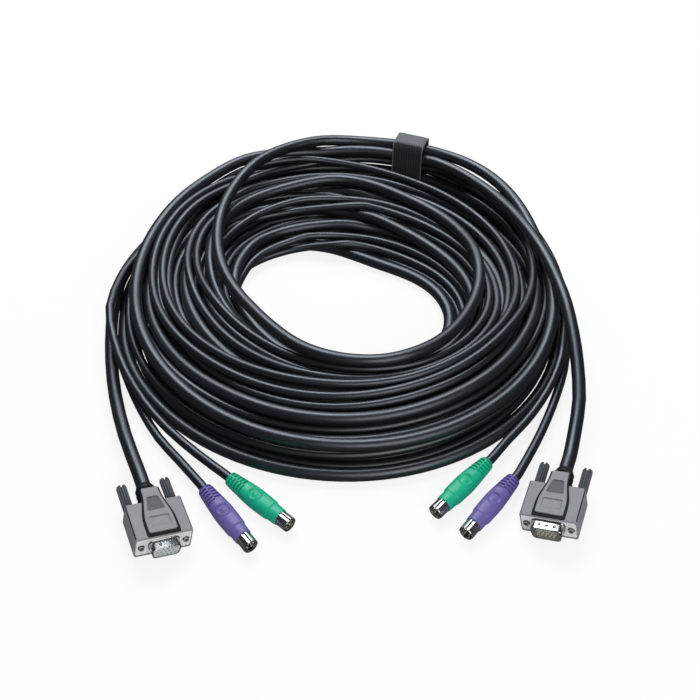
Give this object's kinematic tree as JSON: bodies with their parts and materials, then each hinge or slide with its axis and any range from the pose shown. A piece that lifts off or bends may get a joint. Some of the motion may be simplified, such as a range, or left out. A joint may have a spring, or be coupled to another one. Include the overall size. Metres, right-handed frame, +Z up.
{
  "type": "kvm cable",
  "caption": "Coiled extension cord set for screen, keyboard and mouse, with video and round mini plugs on leads at each end, thumbscrews and a ribbed tie strap.",
  "frame": {"origin": "middle of the whole set's footprint, on the surface that it lies on", "axes": "+Z up; -Y is the side where all the plugs lie, towards the picture's camera; +X towards the end with the video plug"},
  "size_m": [0.3196, 0.364, 0.0438],
  "materials": {
    "cord_jacket": "satin PVC jacket, near black",
    "strap_fabric": "ribbed hook-and-loop tape, near black",
    "hood_plastic": "fine-textured grey moulding",
    "knob_plastic": "dark grey, fluted",
    "relief_rubber": "black, satin",
    "plated_steel": "bright plated sheet steel",
    "screw_steel": "plated screw",
    "contact_gold": "gold-plated contacts",
    "socket_plastic": "pale grey insulator",
    "pin_plastic": "black insulator",
    "inner_plastic": "black inner moulding",
    "keyboard_purple": "purple soft moulding",
    "mouse_green": "green soft moulding"
  },
  "bodies": {
    "cable_set": {"coil_turns": "cord_jacket", "tie_strap": "strap_fabric", "left_vga_hood": "hood_plastic", "left_vga_strain_relief": "relief_rubber", "left_vga_metal_shell": "plated_steel", "left_vga_insulator": "socket_plastic", "left_vga_contacts": "contact_gold", "left_vga_inner_mould": "inner_plastic", "left_vga_lead": "cord_jacket", "left_keyboard_plug_body": "keyboard_purple", "left_keyboard_plug_shell": "plated_steel", "left_keyboard_plug_insulator": "pin_plastic", "left_keyboard_plug_pins": "contact_gold", "left_keyboard_lead": "cord_jacket", "left_mouse_plug_body": "mouse_green", "left_mouse_plug_shell": "plated_steel", "left_mouse_plug_insulator": "pin_plastic", "left_mouse_plug_pins": "contact_gold", "left_mouse_lead": "cord_jacket", "right_vga_hood": "hood_plastic", "right_vga_strain_relief": "relief_rubber", "right_vga_metal_shell": "plated_steel", "right_vga_insulator": "pin_plastic", "right_vga_contacts": "contact_gold", "right_vga_inner_mould": "inner_plastic", "right_vga_lead": "cord_jacket", "right_keyboard_plug_body": "keyboard_purple", "right_keyboard_plug_shell": "plated_steel", "right_keyboard_plug_insulator": "pin_plastic", "right_keyboard_plug_pins": "contact_gold", "right_keyboard_lead": "cord_jacket", "right_mouse_plug_body": "mouse_green", "right_mouse_plug_shell": "plated_steel", "right_mouse_plug_insulator": "pin_plastic", "right_mouse_plug_pins": "contact_gold", "right_mouse_lead": "cord_jacket"},
    "left_thumbscrew_a": {"left_vga_knob_a": "knob_plastic", "left_vga_screw_a": "screw_steel"},
    "left_thumbscrew_b": {"left_vga_knob_b": "knob_plastic", "left_vga_screw_b": "screw_steel"},
    "right_thumbscrew_a": {"right_vga_knob_a": "knob_plastic", "right_vga_screw_a": "screw_steel"},
    "right_thumbscrew_b": {"right_vga_knob_b": "knob_plastic", "right_vga_screw_b": "screw_steel"}
  },
  "joints": [
    {"name": "left_thumbscrew_a_turn", "type": "hinge", "parent": "cable_set", "child": "left_thumbscrew_a", "pos_m": [-0.11467, -0.15537, 0.01387], "axis": [0.4067, -0.9135, 0], "continuous": true},
    {"name": "left_thumbscrew_b_turn", "type": "hinge", "parent": "cable_set", "child": "left_thumbscrew_b", "pos_m": [-0.09252, -0.14551, 0.00783], "axis": [0.4067, -0.9135, 0], "continuous": true},
    {"name": "right_thumbscrew_a_turn", "type": "hinge", "parent": "cable_set", "child": "right_thumbscrew_a", "pos_m": [0.11574, -0.13475, 0.00783], "axis": [-0.3746, -0.9272, 0], "continuous": true},
    {"name": "right_thumbscrew_b_turn", "type": "hinge", "parent": "cable_set", "child": "right_thumbscrew_b", "pos_m": [0.13822, -0.14384, 0.01387], "axis": [-0.3746, -0.9272, 0], "continuous": true}
  ]
}
